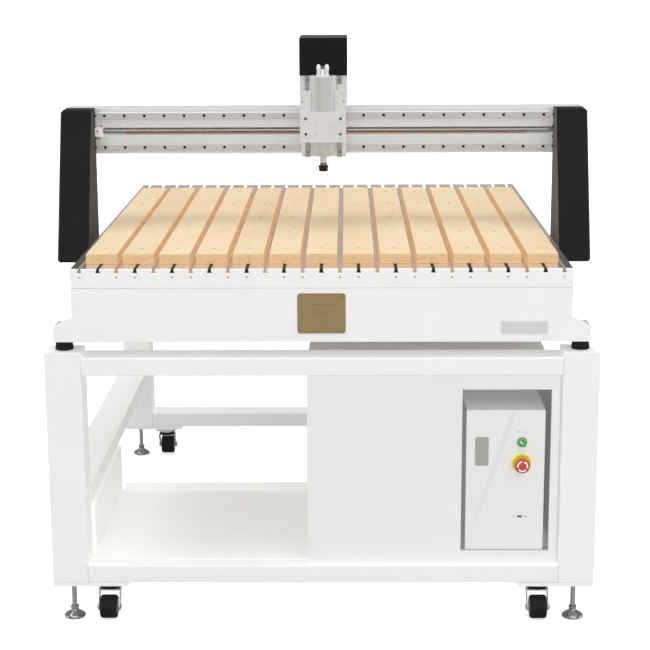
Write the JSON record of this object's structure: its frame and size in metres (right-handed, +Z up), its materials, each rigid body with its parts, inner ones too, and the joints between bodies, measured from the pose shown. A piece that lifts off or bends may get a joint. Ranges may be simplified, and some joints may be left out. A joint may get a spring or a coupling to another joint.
{
  "type": "cnc router",
  "caption": "Bridge-type routing machine on a wheeled welded stand, with slotted table, sacrificial board, sliding bridge, upright head and water-cooled spindle.",
  "frame": {"origin": "on the floor, under the middle of the overall width and depth", "axes": "+X to the operator's right, +Y from the operator towards the back, +Z up"},
  "size_m": [1.564, 1.67, 1.592],
  "materials": {
    "stand_powder_coat": "fine-textured white powder coat",
    "panel_powder_coat": "smooth white powder coat",
    "bare_sheet": "plain light grey coated sheet",
    "control_box_paint": "satin white powder coat",
    "yellow_plastic": "semi-gloss moulded",
    "red_plastic": "semi-gloss moulded",
    "green_plastic": "semi-gloss moulded",
    "zinc_plate": "bright zinc-plated pressing",
    "caster_tyre": "hard moulded tread",
    "chrome_foot": "polished plate",
    "black_rubber": "matt",
    "bed_aluminium": "milled",
    "table_aluminium": "face-milled, slotted",
    "bed_powder_coat": "smooth white powder coat",
    "brass_badge": "aged satin, blank",
    "grey_badge": "blank label stock",
    "fibreboard": "sanded fibreboard with cut edges",
    "rail_steel": "ground and oiled",
    "screw_steel": "rolled thread, oiled",
    "black_powder_coat": "textured black powder coat",
    "beam_anodised": "clear anodised extrusion",
    "head_anodised": "clear anodised plate",
    "clamp_anodised": "bead-blasted anodised",
    "cover_black": "textured black powder coat",
    "spindle_brushed": "turned and polished",
    "nose_steel": "ground"
  },
  "bodies": {
    "base": {"stand_frame": "stand_powder_coat", "shelf_tray": "stand_powder_coat", "cabinet_front_panel": "panel_powder_coat", "cabinet_shell": "bare_sheet", "control_box": "control_box_paint", "estop_collar": "yellow_plastic", "rubber_mount_front_left": "black_rubber", "rubber_mount_front_right": "black_rubber", "rubber_mount_rear_left": "black_rubber", "rubber_mount_rear_right": "black_rubber", "bed_frame": "bed_aluminium", "front_end_bar": "bed_powder_coat", "front_apron": "bed_powder_coat", "t_slot_table": "table_aluminium", "emblem_plate": "brass_badge", "name_plate": "grey_badge", "y_rail_left": "rail_steel", "y_rail_right": "rail_steel", "mdf_strip_01": "fibreboard", "mdf_strip_02": "fibreboard", "mdf_strip_03": "fibreboard", "mdf_strip_04": "fibreboard", "mdf_strip_05": "fibreboard", "mdf_strip_06": "fibreboard", "mdf_strip_07": "fibreboard", "mdf_strip_08": "fibreboard", "mdf_strip_09": "fibreboard", "mdf_strip_10": "fibreboard", "mdf_strip_11": "fibreboard", "mdf_strip_12": "fibreboard", "mdf_strip_13": "fibreboard"},
    "gantry": {"column_left": "black_powder_coat", "column_right": "black_powder_coat", "gantry_beam": "beam_anodised", "x_rail_lower": "rail_steel", "x_rail_upper": "rail_steel"},
    "x_carriage": {"z_base_plate": "head_anodised", "z_motor_cover": "cover_black"},
    "z_head": {"z_plate": "head_anodised", "spindle_clamp": "clamp_anodised", "spindle_body": "spindle_brushed"},
    "spindle_rotor": {"spindle_nose": "nose_steel"},
    "x_screw_body": {"x_screw": "screw_steel"},
    "y_screw_left_body": {"y_screw_left": "screw_steel"},
    "y_screw_right_body": {"y_screw_right": "screw_steel"},
    "z_screw_body": {"z_screw": "screw_steel"},
    "estop_head": {"estop_button": "red_plastic"},
    "selector": {"selector_knob": "green_plastic"},
    "swivel_front_left": {"caster_fork_front_left": "zinc_plate"},
    "wheel_front_left": {"caster_wheel_front_left": "caster_tyre"},
    "foot_front_left": {"leveling_foot_front_left": "chrome_foot"},
    "swivel_front_right": {"caster_fork_front_right": "zinc_plate"},
    "wheel_front_right": {"caster_wheel_front_right": "caster_tyre"},
    "foot_front_right": {"leveling_foot_front_right": "chrome_foot"},
    "swivel_rear_left": {"caster_fork_rear_left": "zinc_plate"},
    "wheel_rear_left": {"caster_wheel_rear_left": "caster_tyre"},
    "foot_rear_left": {"leveling_foot_rear_left": "chrome_foot"},
    "swivel_rear_right": {"caster_fork_rear_right": "zinc_plate"},
    "wheel_rear_right": {"caster_wheel_rear_right": "caster_tyre"},
    "foot_rear_right": {"leveling_foot_rear_right": "chrome_foot"}
  },
  "joints": [
    {"name": "y_travel", "type": "slide", "parent": "base", "child": "gantry", "axis": [0, 1, 0], "range_m": [-0.39, 0.9]},
    {"name": "x_travel", "type": "slide", "parent": "gantry", "child": "x_carriage", "axis": [1, 0, 0], "range_m": [-0.59, 0.59]},
    {"name": "z_travel", "type": "slide", "parent": "x_carriage", "child": "z_head", "axis": [0, 0, 1], "range_m": [-0.08, 0.04]},
    {"name": "spindle_spin", "type": "hinge", "parent": "z_head", "child": "spindle_rotor", "pos_m": [0, -0.31525, 1.23], "axis": [0, 0, 1], "continuous": true},
    {"name": "y_screw_left_spin", "type": "hinge", "parent": "base", "child": "y_screw_left_body", "pos_m": [-0.645, 0, 0.88], "axis": [0, 1, 0], "continuous": true},
    {"name": "y_screw_right_spin", "type": "hinge", "parent": "base", "child": "y_screw_right_body", "pos_m": [0.645, 0, 0.88], "axis": [0, 1, 0], "continuous": true},
    {"name": "x_screw_spin", "type": "hinge", "parent": "gantry", "child": "x_screw_body", "pos_m": [0, -0.15925, 1.3125], "axis": [1, 0, 0], "continuous": true},
    {"name": "z_screw_spin", "type": "hinge", "parent": "x_carriage", "child": "z_screw_body", "pos_m": [0, -0.24125, 1.389], "axis": [0, 0, 1], "continuous": true},
    {"name": "estop_press", "type": "slide", "parent": "base", "child": "estop_head", "axis": [0, 1, 0], "range_m": [0, 0.004], "stiffness_N_per_m": 800},
    {"name": "selector_turn", "type": "hinge", "parent": "base", "child": "selector", "pos_m": [0.55, -0.81125, 0.519], "axis": [0, 1, 0], "range_deg": [0, 90]},
    {"name": "swivel_front_left_turn", "type": "hinge", "parent": "base", "child": "swivel_front_left", "pos_m": [-0.605, -0.76625, 0.095], "axis": [0, 0, 1], "continuous": true},
    {"name": "wheel_front_left_roll", "type": "hinge", "parent": "swivel_front_left", "child": "wheel_front_left", "pos_m": [-0.605, -0.79425, 0.0342], "axis": [1, 0, 0], "continuous": true},
    {"name": "foot_front_left_adjust", "type": "slide", "parent": "base", "child": "foot_front_left", "axis": [0, 0, -1], "range_m": [0, 0.03]},
    {"name": "swivel_front_right_turn", "type": "hinge", "parent": "base", "child": "swivel_front_right", "pos_m": [0.605, -0.76625, 0.095], "axis": [0, 0, 1], "continuous": true},
    {"name": "wheel_front_right_roll", "type": "hinge", "parent": "swivel_front_right", "child": "wheel_front_right", "pos_m": [0.605, -0.79425, 0.0342], "axis": [1, 0, 0], "continuous": true},
    {"name": "foot_front_right_adjust", "type": "slide", "parent": "base", "child": "foot_front_right", "axis": [0, 0, -1], "range_m": [0, 0.03]},
    {"name": "swivel_rear_left_turn", "type": "hinge", "parent": "base", "child": "swivel_rear_left", "pos_m": [-0.605, 0.76975, 0.095], "axis": [0, 0, 1], "continuous": true},
    {"name": "wheel_rear_left_roll", "type": "hinge", "parent": "swivel_rear_left", "child": "wheel_rear_left", "pos_m": [-0.605, 0.79775, 0.0342], "axis": [1, 0, 0], "continuous": true},
    {"name": "foot_rear_left_adjust", "type": "slide", "parent": "base", "child": "foot_rear_left", "axis": [0, 0, -1], "range_m": [0, 0.03]},
    {"name": "swivel_rear_right_turn", "type": "hinge", "parent": "base", "child": "swivel_rear_right", "pos_m": [0.605, 0.76975, 0.095], "axis": [0, 0, 1], "continuous": true},
    {"name": "wheel_rear_right_roll", "type": "hinge", "parent": "swivel_rear_right", "child": "wheel_rear_right", "pos_m": [0.605, 0.79775, 0.0342], "axis": [1, 0, 0], "continuous": true},
    {"name": "foot_rear_right_adjust", "type": "slide", "parent": "base", "child": "foot_rear_right", "axis": [0, 0, -1], "range_m": [0, 0.03]}
  ],
  "couplings": [
    {"joint": "y_screw_left_spin", "follows": "y_travel", "rad_per_m": -314.16},
    {"joint": "y_screw_right_spin", "follows": "y_travel", "rad_per_m": -314.16},
    {"joint": "x_screw_spin", "follows": "x_travel", "rad_per_m": -314.16},
    {"joint": "z_screw_spin", "follows": "z_travel", "rad_per_m": -1256.6}
  ]
}
